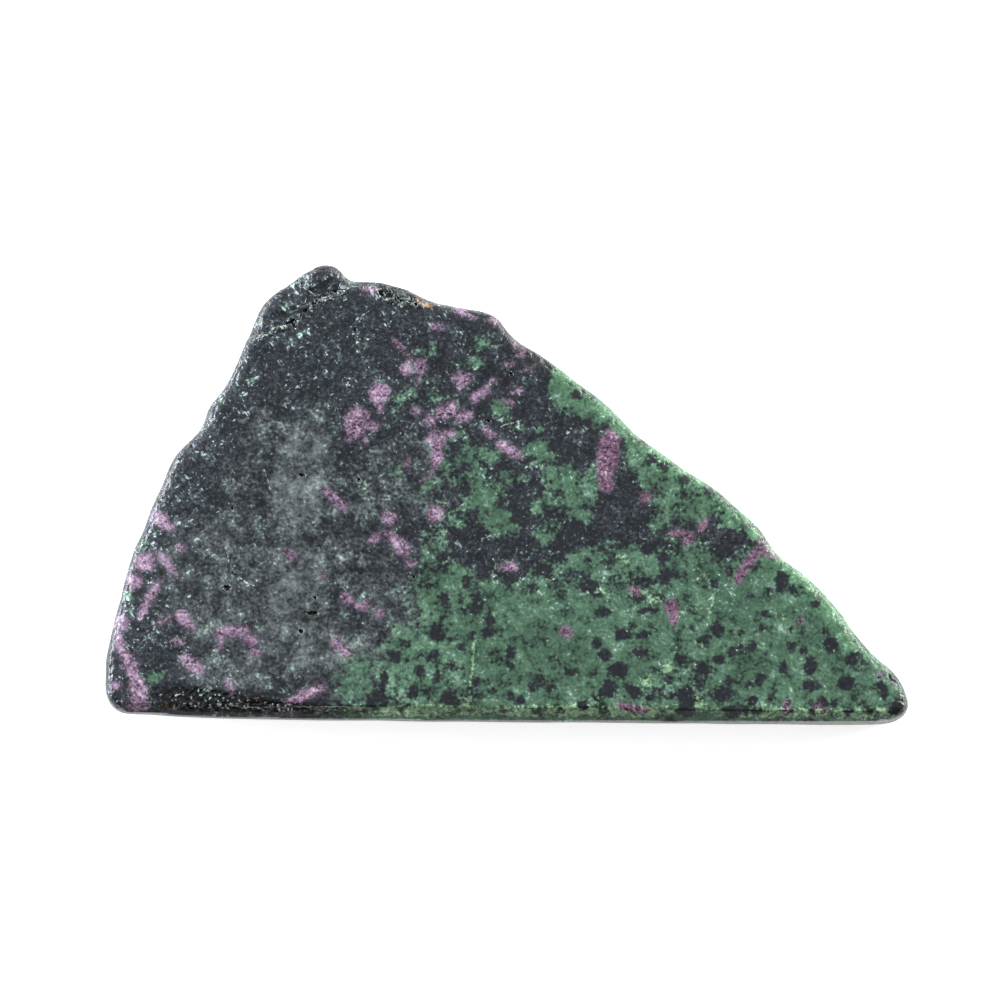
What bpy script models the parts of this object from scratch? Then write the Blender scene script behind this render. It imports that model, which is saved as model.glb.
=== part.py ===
"""A polished slab of ruby in zoisite, lying on its sawn underside.

The stone is built the way it was made: a sheet is sawn to the outline and tumbled until
its edges are round, the places where the rough rock falls short of the polished face are
broken out at the top, and its long edge is ground to a bevel last.

Sizes are in millimetres, with X to the right along the long straight edge, Y towards the
lump and Z up. The origin is under the middle of the slab.
"""

import math

import bmesh
import bpy
from mathutils import Vector, noise

MM = 0.001

# The finished slab
LENGTH = 130.0
WIDTH = 75.3
THICKNESS = 15.0

# The outline at its widest, seen from above: up the left side, over the lump, down the
# long right side and back along the straight edge. A smooth curve runs through its points,
# with corners this far apart.
OUTLINE_SPACING = 1.2
LEFT_SIDE = [
    (-61.8, -35.8), (-63.6, -34.8), (-64.8, -32.9), (-65.0, -30.0), (-64.8, -26.3),
    (-64.0, -22.8), (-63.6, -19.7), (-62.2, -13.4), (-60.8, -9.0), (-59.1, -5.7),
    (-57.8, -1.8), (-56.2, 0.8), (-55.4, 3.0), (-53.9, 6.4), (-50.6, 9.8),
    (-49.1, 11.7), (-48.8, 13.8), (-46.9, 16.3), (-45.5, 18.2), (-44.5, 20.9),
    (-43.4, 23.4), (-42.1, 27.2),
]
TOP_LUMP = [
    (-40.6, 30.1), (-38.3, 32.8), (-35.3, 34.9), (-32.9, 36.9), (-30.2, 37.9),
    (-27.7, 37.7), (-26.2, 36.2), (-25.7, 34.2),
]
RIGHT_SIDE = [
    (-23.6, 35.1), (-19.4, 34.9), (-16.3, 34.3), (-13.6, 32.9), (-11.2, 31.6),
    (-7.7, 30.8), (-4.4, 30.3), (-2.2, 29.9), (-0.8, 29.1), (0.5, 27.1),
    (2.1, 25.3), (6.1, 22.8), (12.3, 18.0), (16.6, 14.8), (22.9, 8.9),
    (29.2, 4.0), (33.8, 1.1), (37.4, -1.8), (41.9, -5.9), (43.6, -8.9),
    (47.9, -12.1), (53.8, -18.5), (55.4, -20.9), (57.8, -24.2), (60.1, -26.7),
    (62.5, -28.5), (64.2, -31.0),
]
STRAIGHT_EDGE = [
    (65.1, -33.9), (65.0, -35.6), (63.7, -36.7), (61.6, -36.9), (59.0, -37.1),
    (39.4, -37.15), (6.9, -36.95), (-25.5, -36.7), (-46.0, -36.4), (-53.1, -36.1),
    (-57.8, -35.7),
]

# The bevel ground along the straight edge: where its upper line starts and ends, and how
# far it falls for each millimetre outwards
BEVEL_LEFT = (-58.0, -34.2)
BEVEL_RIGHT = (62.0, -35.5)
BEVEL_FALL = 0.95

# Below its belly the near wall leans in on the left and stands upright on the right. It
# was ground like the bevel, so it has fewer hollows than the other walls.
NEAR_WALL_FROM = -25.0
NEAR_WALL_TO = -36.0
BELLY_HEIGHT = 9.5
UNDERCUT_LEFT = 0.24
UNDERCUT_RIGHT = 0.02

# Tumbling: the surface, in cells of this size, is worn down in passes and smoothed after
# each one, so that its edges grow round as its walls wear away
CELL = 0.8
TUMBLE_PASSES = 4
PASS_ROUNDS = 2

# The walls curve in from the belly, by this much at the underside
WALL_CURVE = 1.3

# Hollows worn into the walls cover more than half of them. They are full depth low down
# and shallow near the polished face.
HOLLOW_SPACING = 9.0
HOLLOW_DEPTH = 2.2
HOLLOW_SPREAD = 0.25
HOLLOW_SHALLOW_FROM = 12.5
HOLLOW_FULL_FROM = 4.5
HOLLOW_SHALLOW = 0.3

# The grain of rough rock, and how much of all this wear a ground wall is spared
CHIP_SPACING = 3.2
CHIP_DEPTH = 0.5
LEDGE_CHIP_SPACING = 2.5
GROUND_SMOOTH = 0.85

# The ledge left of the chipped line, which carries the lump, and the ragged one beside it
LEDGE_DROP = 2.3
LEDGE = [
    (-44.0, 25.4), (-40.7, 25.5), (-38.6, 26.6), (-36.9, 27.1), (-35.4, 27.6),
    (-33.4, 29.0), (-32.2, 30.1), (-30.9, 31.1), (-29.2, 32.0), (-28.2, 32.9),
    (-26.7, 33.2), (-25.7, 33.5), (-24.9, 34.3), (-24.9, 40.0), (-44.0, 40.0),
]
RAGGED_DROP = 1.3
RAGGED_LEDGE = [
    (-24.4, 38.0), (-23.6, 33.5), (-20.5, 31.9), (-17.7, 31.2), (-14.7, 31.3),
    (-11.6, 29.9), (-9.5, 32.5), (-12.0, 38.0),
]

# Swellings and hollows on the ledges: centre, radius and height
LEDGE_RELIEF = [
    ((-30.4, 34.4), 3.4, 1.3),
    ((-37.2, 30.0), 2.8, 0.9),
    ((-34.0, 32.2), 1.7, -0.9),
    ((-40.2, 27.4), 2.0, -0.6),
]
RAGGED_RELIEF = [
    ((-21.0, 33.4), 1.4, 0.5),
    ((-18.2, 32.6), 1.3, -0.6),
    ((-15.6, 32.4), 1.2, 0.4),
    ((-13.4, 31.4), 1.2, -0.5),
]
EDGE_ROUNDS = 5

# Triangles kept in the solid, and how near to a flat face a corner is put on it
FACE_COUNT = 8800
FLAT_WITHIN = 0.06
SHARP_ANGLE = 45

STONE_COLOUR = (0.075, 0.105, 0.088, 1.0)
STONE_ROUGHNESS = 0.32


def clear_scene():
    for obj in list(bpy.data.objects):
        bpy.data.objects.remove(obj)


def stone_material():
    material = bpy.data.materials.new("ruby_in_zoisite")
    material.use_nodes = True
    shader = material.node_tree.nodes["Principled BSDF"]
    shader.inputs["Base Color"].default_value = STONE_COLOUR
    shader.inputs["Roughness"].default_value = STONE_ROUGHNESS
    shader.inputs["Metallic"].default_value = 0.0
    return material


def smooth_loop(points, spacing):
    """Points about the given distance apart on a smooth closed curve through the given ones."""
    loop = []
    count = len(points)
    for i in range(count):
        before, start, end, after = (Vector(points[(i + k) % count]) for k in (-1, 0, 1, 2))
        steps = max(1, round((end - start).length / spacing))
        for step in range(steps):
            t = step / steps
            pull_in = (end - before) / 2
            pull_out = (after - start) / 2
            loop.append(
                start * (2 * t**3 - 3 * t**2 + 1)
                + pull_in * (t**3 - 2 * t**2 + t)
                + end * (3 * t**2 - 2 * t**3)
                + pull_out * (t**3 - t**2)
            )
    return loop


def inside(point, polygon):
    """True where a level line from the point crosses the polygon an odd number of times."""
    x, y = point
    crossings = 0
    for (x0, y0), (x1, y1) in zip(polygon, polygon[1:] + polygon[:1]):
        if (y0 > y) != (y1 > y) and x < x0 + (y - y0) * (x1 - x0) / (y1 - y0):
            crossings += 1
    return crossings % 2 == 1


def sawn_sheet(mesh):
    """The outline, raised to the slab's thickness."""
    corners = smooth_loop(LEFT_SIDE + TOP_LUMP + RIGHT_SIDE + STRAIGHT_EDGE, OUTLINE_SPACING)
    underside = mesh.faces.new([mesh.verts.new((p.x, p.y, 0)) for p in reversed(corners)])
    raised = bmesh.ops.extrude_face_region(mesh, geom=[underside], use_keep_orig=True)
    top = [v for v in raised["geom"] if isinstance(v, bmesh.types.BMVert)]
    bmesh.ops.translate(mesh, verts=top, vec=(0, 0, THICKNESS))
    bmesh.ops.recalc_face_normals(mesh, faces=mesh.faces)


def grind(mesh, on_plane, outwards):
    """Takes off what lies beyond a plane and closes the cut."""
    cut = bmesh.ops.bisect_plane(
        mesh,
        geom=mesh.verts[:] + mesh.edges[:] + mesh.faces[:],
        plane_co=on_plane,
        plane_no=outwards,
        clear_outer=True,
    )
    rim = [e for e in cut["geom_cut"] if isinstance(e, bmesh.types.BMEdge)]
    bmesh.ops.contextual_create(mesh, geom=rim)
    bmesh.ops.recalc_face_normals(mesh, faces=mesh.faces)


def grind_bevel(mesh):
    """A flat bevel between the polished face and the straight edge."""
    left = Vector((*BEVEL_LEFT, THICKNESS))
    right = Vector((*BEVEL_RIGHT, THICKNESS))
    downhill = Vector((0, -1, -BEVEL_FALL))
    outwards = (right - left).cross(downhill)
    if outwards.z < 0:
        outwards.negate()
    grind(mesh, left, outwards)


def share(value, low, high):
    """How far a value is from low to high, held between 0 and 1."""
    return min(max((value - low) / (high - low), 0), 1)


def lean_near_wall(mesh):
    """Draws the near wall in below its belly, more on the left than on the right."""
    left, right = STRAIGHT_EDGE[-1][0], STRAIGHT_EDGE[0][0]
    for vert in mesh.verts:
        lean = UNDERCUT_LEFT + (UNDERCUT_RIGHT - UNDERCUT_LEFT) * share(vert.co.x, left, right)
        below = max(BELLY_HEIGHT - vert.co.z, 0)
        vert.co.y += lean * below * share(vert.co.y, NEAR_WALL_FROM, NEAR_WALL_TO)


def hollow_walls(mesh):
    """One pass of wear on the walls: they curve in below the belly and hollows deepen."""
    mesh.normal_update()
    for vert in mesh.verts:
        steep = (1 - abs(vert.normal.z)) / TUMBLE_PASSES
        rough = 1 - GROUND_SMOOTH * share(vert.co.y, NEAR_WALL_FROM, NEAR_WALL_TO)
        low_down = share(vert.co.z, HOLLOW_SHALLOW_FROM, HOLLOW_FULL_FROM)
        deep = HOLLOW_DEPTH * (HOLLOW_SHALLOW + (1 - HOLLOW_SHALLOW) * low_down)
        curve = WALL_CURVE * (vert.co.z / BELLY_HEIGHT - 1) ** 2
        broad = noise.noise(vert.co / HOLLOW_SPACING) - HOLLOW_SPREAD
        small = noise.noise(vert.co / CHIP_SPACING)
        hollow = deep * min(broad, 0) + CHIP_DEPTH * min(small, 0)
        vert.co += vert.normal * steep * rough * (hollow - curve)


def ledge_floor(place, drop, relief):
    """The height of a broken ledge, with its swellings and its grain."""
    height = THICKNESS - drop
    for centre, radius, rise in relief:
        away = (place.xy - Vector(centre)).length / radius
        height += rise * math.exp(-(away**2))
    height += CHIP_DEPTH * noise.noise(place / LEDGE_CHIP_SPACING)
    return height


def break_ledges(mesh):
    """Lowers the surface inside each ledge to that ledge's floor."""
    for polygon, drop, relief in (
        (LEDGE, LEDGE_DROP, LEDGE_RELIEF),
        (RAGGED_LEDGE, RAGGED_DROP, RAGGED_RELIEF),
    ):
        for vert in mesh.verts:
            if inside(vert.co.xy, polygon):
                floor = ledge_floor(Vector((vert.co.x, vert.co.y, 0)), drop, relief)
                vert.co.z = min(vert.co.z, floor)


def flatten(mesh):
    """Makes the sawn underside and the polished face exactly flat."""
    for vert in mesh.verts:
        for level in (0, THICKNESS):
            if abs(vert.co.z - level) < FLAT_WITHIN:
                vert.co.z = level


def with_mesh(obj, *steps):
    """Runs modelling steps on an object's mesh."""
    mesh = bmesh.new()
    mesh.from_mesh(obj.data)
    for step in steps:
        step(mesh)
    mesh.to_mesh(obj.data)
    mesh.free()


def apply_modifiers(obj):
    graph = bpy.context.evaluated_depsgraph_get()
    mesh = bpy.data.meshes.new_from_object(obj.evaluated_get(graph))
    obj.modifiers.clear()
    obj.data = mesh


def make_even(obj):
    """Rebuilds the surface in small even cells."""
    remesh = obj.modifiers.new("even_cells", "REMESH")
    remesh.mode = "VOXEL"
    remesh.voxel_size = CELL
    apply_modifiers(obj)


def wear(obj, rounds):
    """Smooths the surface, which rounds its edges as tumbling does."""
    smooth = obj.modifiers.new("wear", "SMOOTH")
    smooth.factor = 0.5
    smooth.iterations = rounds
    apply_modifiers(obj)


def thin_out(obj):
    """Brings the faces down to the number kept, most of them where the surface bends."""
    triangles = sum(len(face.vertices) - 2 for face in obj.data.polygons)
    decimate = obj.modifiers.new("thin_out", "DECIMATE")
    decimate.ratio = FACE_COUNT / triangles
    apply_modifiers(obj)


def set_to_size(mesh):
    """Centres the slab over the origin, on its underside, and makes it its full size in metres."""
    low = Vector([min(v.co[axis] for v in mesh.verts) for axis in range(3)])
    high = Vector([max(v.co[axis] for v in mesh.verts) for axis in range(3)])
    under_middle = Vector(((low.x + high.x) / 2, (low.y + high.y) / 2, low.z))
    stretch = [full * MM / now for full, now in zip((LENGTH, WIDTH, THICKNESS), high - low)]
    bmesh.ops.translate(mesh, verts=mesh.verts, vec=-under_middle)
    bmesh.ops.scale(mesh, verts=mesh.verts, vec=stretch)


def build_slab():
    slab = bpy.data.objects.new("slab", bpy.data.meshes.new("slab"))
    bpy.context.scene.collection.objects.link(slab)
    with_mesh(slab, sawn_sheet)
    make_even(slab)
    with_mesh(slab, lean_near_wall)
    for _ in range(TUMBLE_PASSES):
        with_mesh(slab, hollow_walls)
        wear(slab, PASS_ROUNDS)
    with_mesh(slab, break_ledges)
    make_even(slab)
    wear(slab, EDGE_ROUNDS)
    with_mesh(slab, grind_bevel)
    thin_out(slab)
    with_mesh(slab, flatten, set_to_size)
    slab.data.materials.append(stone_material())
    slab.data.name = "slab"
    slab.data.shade_smooth()
    slab.data.set_sharp_from_angle(angle=math.radians(SHARP_ANGLE))


clear_scene()
build_slab()
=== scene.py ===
"""The looks of a polished slab of ruby in zoisite, laid out as a Blender add-on."""

import math
import random

import bmesh
import bpy
import numpy as np
from mathutils import Matrix, Vector, noise
from mathutils.kdtree import KDTree


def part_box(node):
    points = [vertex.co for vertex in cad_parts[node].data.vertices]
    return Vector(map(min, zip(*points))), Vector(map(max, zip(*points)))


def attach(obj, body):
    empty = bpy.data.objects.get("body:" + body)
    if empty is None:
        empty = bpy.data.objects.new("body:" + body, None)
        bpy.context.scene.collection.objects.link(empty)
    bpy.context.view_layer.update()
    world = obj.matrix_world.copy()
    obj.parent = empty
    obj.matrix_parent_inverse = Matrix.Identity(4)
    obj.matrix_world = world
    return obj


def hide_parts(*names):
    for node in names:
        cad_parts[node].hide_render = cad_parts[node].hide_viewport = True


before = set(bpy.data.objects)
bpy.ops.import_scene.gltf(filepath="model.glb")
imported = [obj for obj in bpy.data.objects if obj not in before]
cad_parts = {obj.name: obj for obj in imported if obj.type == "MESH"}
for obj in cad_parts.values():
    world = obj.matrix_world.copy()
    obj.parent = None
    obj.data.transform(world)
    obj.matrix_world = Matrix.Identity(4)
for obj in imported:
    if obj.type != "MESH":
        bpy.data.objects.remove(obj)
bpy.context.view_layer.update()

bl_info = {
    "name": "Ruby in zoisite slab",
    "version": (1, 0, 0),
    "blender": (4, 5, 0),
    "location": "3D View > Sidebar > Stone",
    "description": "Builds a polished slab of ruby in zoisite on a pale floor",
    "category": "Object",
}

MM = 0.001
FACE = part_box("slab")[1][2] / MM

# Camera: above the slab and a little towards the straight edge. The lens gives this many
# mm to a pixel on the polished face, in a picture of 1000 pixels.
CAMERA_TILT = math.radians(83)
CAMERA_DISTANCE = 750.0
CAMERA_AIM = (-1.05, -1.62)
MM_PER_PIXEL = 0.1622
PICTURE_SIDE = 1000
SENSOR = 36.0
FLOOR_GAP = 0.1

# Mesh of the stone, in mm: an even net, halved on the face and rims, and halved again
# where the stone is chipped, pitted or rounded, down to faces of this many square mm.
CELL = 0.9
SMALL_FACE = 0.03
UPPER_PART = 9.5

# How near to the broken lines the net is finest, in mm, and how near to each other corners
# of the solid's mesh are joined into one, in metres.
CHIPPED_REACH = 1.8
RAGGED_REACH = (-0.8, 2.6)
WELD = 1e-6

# How the net is smoothed, as passes, the lowest corners in mm, and how upright a normal may
# be: once all over, then on the rims alone.
SMOOTHED_ALL = (1, -1.0, 0.999)
SMOOTHED_RIMS = (2, UPPER_PART, 0.9995)

# How upright the normals are: on rims between these two, on walls under this, on sides that
# face up and on chipped places over these, and on dented edges under this. The height in mm
# is where the walls that give the outline begin.
RIM_SLOPES = (0.3, 0.98)
WALL_SLOPE = 0.35
UPPER_SLOPE = 0.05
CHIPPED_SLOPE = 0.1
DENTED_SLOPE = 0.97
WALL_FOOT = 5.0

# The bevel along the straight edge, in mm: where its lowest corners are, how far back and
# to the sides it may reach, how near to its flat a corner is put back on it, and between
# which slopes and how far forward its normal leans.
BEVEL_FOOT = 12.2
BEVEL_BACK = -33.5
BEVEL_END = 62.0
BEVEL_NEAR = 0.4
BEVEL_SLOPES = (0.5, 0.9)
BEVEL_FORWARD = -0.4

# How far in from the outline the stone is thin enough to let light through, in mm, and
# where and over how far that begins behind the near edge, which stands on its wall. That
# light is painted into the zoisite's colour as a brighter glow.
THIN_EDGE = 3.0
THIN_BACK = -30.0
THIN_FADE = 4.0

# The dusty near wall: how far forward its normals lean, over how much that fades in, and how
# far over the bevel's foot it ends, in mm.
SAWN_FROM = 0.63
SAWN_FADE = 0.12
SAWN_OVER = 0.6

# Tumbled walls and rims: how upright a normal is where they end, over how much they fade in,
# how much deeper pricked they are, and how much the roughness changes there and on the dust.
WORN_FROM = 0.985
WORN_FADE = 0.2
WORN_RELIEF = 13.0
WORN_GLOSS = -0.05
SAWN_DULL = 0.40

# The broken line between the face and the lower ledge at the top left, and the one under
# the ragged ledge beside it, both from left to right in pixels. The ledges lie above them.
LEDGE_LINE = (
    (244, 341), (253, 336.5), (263, 333.5), (272, 329), (284, 325), (291, 323), (299, 317.5),
    (307, 310.5), (311, 306), (316, 302), (323, 297.5), (330, 294.5), (337, 291.5),
    (345, 288.5), (352, 284.5), (357, 281),
)
RAGGED_LINE = (
    (373, 281), (378, 288), (380, 294.5), (383, 297), (388, 298), (393, 298), (398, 301.5),
    (402, 303), (405, 301), (410, 302.5), (415, 304), (422, 299),
)

# The steps at the two lines, in mm: how deep their floors are and how high the grit on them
# is, how far they reach over and under the line and how they fade out there, and how far
# from the outline they begin.
LEDGE_FLOOR = 2.0
LEDGE_GRIT = 0.08
RAGGED_FLOOR = 1.2
RAGGED_GRIT = 0.40
STEP_ABOVE = 2.8
STEP_BELOW = 1.6
FADE_ABOVE = 0.8
FADE_BELOW = 0.9
HOLD_FROM = 0.5
HOLD_FADE = 1.2

# How far the two lines wander, how deep the chips beside them and the pits in the floors
# are for their noise, and how far from the line they and the painted highlight on the edge
# reach, all in mm.
JAG = 0.45
SMALL_JAG = 0.22
CHIP_DEPTH = 0.9
CHIP_REACH = 0.7
FLOOR_PIT_DEPTH = 1.8
FLOOR_PIT_REACH = 0.9
GLINT_REACH = 0.8

# The noise over which chips and pits begin, how bright the painted highlight on the edge is
# at its line, and how dark the painted shade in the pits is for their noise.
CHIP_FROM = 0.15
FLOOR_PIT_FROM = 0.02
GLINT_PEAK = 1.1
FLOOR_PIT_SHADE = 2.6

# Shares that follow the noise, each as its level and how much the noise changes it: of the
# painted highlight on the edge, and of the painted shade in the dips and the painted
# highlights on the high grains in the broken band.
EDGE_GLINT = (0.85, 1.3)
GROUND_HOLLOW = (0.72, 1.2)
GROUND_GLINT = (-0.80, -2.8)

# Noise in the broken places: a height that keeps each kind apart, and its lumps in mm. All
# of it has this roughness, step in size and number of sizes.
LUMPS = {
    "jag": (0, 1.6), "small_jag": (4, 0.5), "chip": (9, 0.9), "broken": (50, 1.8),
    "floor_pit": (14, 1.1), "grit": (20, 0.8), "pit_edge": (30, 0.5), "ground": (40, 0.50),
}
NOISE = (0.6, 2.0, 3)

# Small pits in the face: middle across and down, width and height in pixels, depth in mm.
PITS = (
    (294.5, 323, 6, 8, 0.9), (312, 613, 12, 3, 0.4), (301, 631, 5, 4, 0.4), (227, 588, 7, 5, 0.3),
    (302, 475, 6, 3, 0.4), (414, 577, 3, 3, 0.3), (359, 480, 4, 4, 0.3), (315, 598, 3, 3, 0.3),
    (232, 508, 3, 4, 0.3), (489, 421, 4, 3, 0.3), (511, 374, 4, 4, 0.3), (355, 330, 3, 3, 0.3),
)

# A pit's edge, how softly and unevenly it starts, and where the painted highlight on its
# right-hand rim ends, as shares of its half width.
PIT_EDGE = 1.2
PIT_FADE = 0.5
PIT_JAG = 0.3
PIT_RIM = 1.7

# Scratches in the face as points in pixels, each painted with a highlight along it, and how
# wide they are in mm.
SCRATCHES = (
    ((227, 552), (229, 563), (235, 573), (244, 581), (256, 587)),
    ((499, 428), (506, 424), (513, 423), (521, 420)),
    ((299, 282), (304, 287), (309, 289), (315, 294)),
    ((478, 541), (492, 535), (506, 532)), ((264, 470), (268, 480), (270, 490)),
)
SCRATCH_WIDTH = 0.16

# Grains that show on the polished face, read off the photograph. Each row is the
# grain's middle across and down, its length and width, all in pixels, and its turn in
# degrees. on_face() gives their places on the stone.
RUBIES_UPPER_LEFT = (
    (370, 289, 18, 9, -25), (463, 312, 30, 10, -25), (494, 319.5, 14, 10, -50),
    (438, 327, 18, 7, 0), (399, 347, 22, 8, -49), (407, 368, 18, 14, 70),
    (420, 366, 18, 14, 80), (419.5, 380, 12, 6, 80), (462, 378, 22, 14, 0),
    (460, 386, 10, 8, 90), (380, 394, 24, 24, 0), (380, 408, 14, 8, 90),
    (357, 418, 26, 20, 20), (356, 428, 24, 22, 90), (374, 426, 14, 14, 0),
    (366, 440, 10, 6, 90), (351, 438, 14, 10, 0), (407, 463, 9, 8, 90),
)
RUBIES_MIDDLE = (
    (480, 394, 28, 10, 35), (447, 411, 24, 18, 30), (463, 417, 24, 12, 30),
    (416, 411, 12, 9, 0), (430, 421, 14, 14, 0), (436, 441, 22, 20, 90),
    (450, 434, 14, 10, 20), (437, 456, 24, 14, 85), (432, 470, 14, 5, 70),
    (422, 480, 8, 5, 45), (508, 402, 16, 7, -20), (489, 433, 16, 12, -50),
    (510, 450, 32, 13, -30), (520, 347, 18, 8, -35), (520, 355, 10, 6, 0),
    (509, 364, 14, 5, 0), (527, 367, 14, 6, -40), (494, 380, 10, 5, 30),
    (518, 391, 12, 8, 0), (335, 499, 34, 11, -42), (389, 517, 16, 15, 0),
    (435, 514, 18, 17, 90), (376, 537, 20, 8, 45), (388, 534, 16, 8, -20),
    (396, 543, 20, 12, -50), (402, 548, 24, 16, -50), (411, 563, 14, 8, -10),
    (347, 598, 18, 12, -30), (362, 606, 22, 11, -10), (379, 614, 14, 8, -25),
    (336, 641, 12, 12, 0), (343, 650, 20, 14, -35), (324, 577, 8, 6, 0),
    (289, 554, 16, 10, -45), (508, 566, 20, 12, 0),
)
RUBIES_RIGHT = (
    (608, 455, 52, 24, 82), (605, 483, 22, 16, 90), (645, 498, 11, 11, 0),
    (675, 533, 14, 10, 0), (688, 539, 18, 14, 90), (703, 525, 18, 8, 50),
    (673, 612, 30, 13, -75), (741, 573, 22, 12, 55), (752, 558, 26, 12, 50),
    (763, 543, 20, 10, 55), (770, 553, 18, 10, -30), (786, 706, 20, 8, 80),
    (820, 713, 14, 6, 0), (818, 705, 8, 8, 0), (880, 675, 8, 6, 0),
    (801, 620, 10, 8, 0), (566, 632, 14, 12, 0), (635, 590, 14, 8, 0),
    (632, 708, 38, 9, -12),
)
RUBIES_LEFT_CORNER = (
    (162, 520, 32, 14, -40), (145, 562, 22, 20, 0), (166, 563, 38, 9, -50),
    (134, 581, 18, 18, 0), (149, 600, 48, 11, 62), (181, 548, 12, 8, -35),
    (165, 620, 18, 7, 20), (186, 620, 28, 12, -45), (178, 642, 12, 7, 0),
    (153, 637, 10, 4, 80), (233, 631, 38, 12, 0), (251, 640, 16, 14, 0),
    (254, 652, 12, 12, 0), (221, 641, 20, 8, 80), (192, 664, 32, 14, -38),
    (121, 623, 18, 18, 0), (119, 643, 28, 12, -75), (130, 667, 34, 16, -65),
    (138, 690, 32, 20, -80), (138, 705, 24, 16, 0), (115, 686, 14, 9, 0),
    (230, 688, 22, 10, -75), (300, 698, 60, 13, 27), (282, 713, 52, 9, 3),
)
RUBIES = RUBIES_UPPER_LEFT + RUBIES_MIDDLE + RUBIES_RIGHT + RUBIES_LEFT_CORNER

# Black spots: middle across and down, width and height, in pixels.
SPOTS_MIDDLE = (
    (561, 556, 12, 16), (571, 529, 18, 16), (524, 517, 14, 14), (560, 544, 16, 12),
    (545, 571, 16, 14), (554, 580, 8, 8), (532, 588, 10, 10), (510, 579, 12, 16),
    (589, 587, 22, 14), (597, 595, 8, 6), (605, 612, 14, 8), (637, 598, 16, 10),
    (643, 612, 10, 8), (622, 633, 16, 13), (632, 624, 6, 6), (643, 635, 12, 8),
    (596, 643, 10, 10), (604, 655, 14, 12), (639, 653, 16, 10), (618, 670, 20, 16),
    (610, 688, 16, 18), (634, 692, 16, 14), (573, 672, 13, 8), (515, 639, 7, 7),
    (545, 639, 8, 5), (510, 652, 10, 13), (512, 666, 7, 7), (533, 687, 12, 12),
    (551, 687, 9, 9), (541, 678, 7, 5), (583, 705, 12, 10), (539, 679, 7, 7),
    (510, 695, 8, 8), (520, 700, 9, 9), (538, 713, 12, 8), (604, 713, 8, 8),
    (576, 394, 10, 10), (588, 423, 8, 8), (620, 444, 10, 12), (560, 462, 12, 10),
    (556, 446, 14, 12), (606, 427, 10, 8), (517, 518, 14, 12), (528, 460, 14, 10),
    (584, 390, 7, 7), (645, 439, 8, 8),
)
SPOTS_RIGHT = (
    (665, 576, 13, 17), (678, 576, 8, 6), (714, 583, 8, 8), (717, 629, 13, 16),
    (693, 628, 8, 8), (703, 640, 12, 9), (718, 659, 13, 8), (703, 670, 20, 13),
    (679, 660, 8, 8), (733, 651, 12, 10), (723, 694, 20, 16), (683, 698, 12, 14),
    (686, 711, 18, 12), (601, 549, 8, 8), (612, 547, 7, 7), (624, 545, 9, 9),
    (608, 564, 7, 10), (647, 549, 14, 14), (663, 558, 12, 14), (658, 690, 9, 7),
    (698, 686, 7, 7), (782, 582, 14, 22), (769, 590, 9, 9), (792, 589, 8, 8),
    (815, 604, 10, 10), (764, 613, 8, 8), (761, 628, 8, 8), (750, 596, 6, 6),
    (740, 633, 8, 5), (741, 646, 8, 8), (744, 653, 7, 7), (752, 646, 12, 10),
    (753, 701, 12, 10), (729, 682, 8, 8), (749, 686, 8, 8), (760, 678, 10, 8),
    (784, 668, 8, 13), (792, 647, 10, 10), (804, 650, 7, 7), (810, 666, 12, 20),
    (830, 644, 14, 18), (824, 631, 6, 8), (790, 630, 6, 6), (802, 631, 5, 5),
    (853, 659, 12, 12), (865, 662, 6, 6), (847, 682, 18, 15), (811, 686, 18, 12),
    (882, 686, 10, 10), (884, 694, 8, 12), (894, 677, 10, 8), (823, 702, 10, 10),
    (834, 703, 9, 9), (894, 710, 14, 10), (900, 703, 8, 8), (770, 697, 7, 7),
    (686, 702, 16, 16), (736, 710, 30, 10), (652, 459, 14, 12), (663, 465, 10, 8),
    (684, 480, 14, 9),
)
SPOTS_LEFT = (
    (501, 501, 10, 13), (522, 515, 14, 14), (467, 582, 9, 16), (477, 598, 10, 10),
    (445, 600, 10, 14), (475, 609, 14, 10), (490, 620, 11, 11), (489, 632, 13, 10),
    (473, 635, 9, 9), (435, 633, 12, 18), (451, 639, 9, 5), (408, 643, 10, 8),
    (461, 647, 10, 10), (436, 654, 9, 9), (396, 657, 10, 12), (420, 671, 10, 13),
    (437, 678, 10, 12), (412, 691, 12, 13), (448, 698, 13, 15), (372, 702, 10, 15),
    (385, 678, 8, 13), (451, 665, 12, 7), (476, 682, 10, 12),
)
SPOTS_BEVEL = (
    (306, 709, 34, 7), (364, 711, 16, 8), (402, 712, 10, 6), (440, 712, 9, 7), (471, 712, 7, 6),
    (505, 711, 9, 6), (535, 713, 11, 7), (561, 712, 8, 6), (585, 707, 14, 6), (607, 714, 10, 6),
    (640, 713, 9, 6), (664, 712, 7, 6), (688, 711, 17, 12), (735, 711, 24, 9), (756, 711, 14, 8),
    (790, 712, 10, 6), (812, 712, 8, 6), (850, 712, 12, 7), (870, 711, 9, 7), (896, 706, 12, 11),
)
SPOTS = SPOTS_MIDDLE + SPOTS_RIGHT + SPOTS_LEFT + SPOTS_BEVEL

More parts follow.
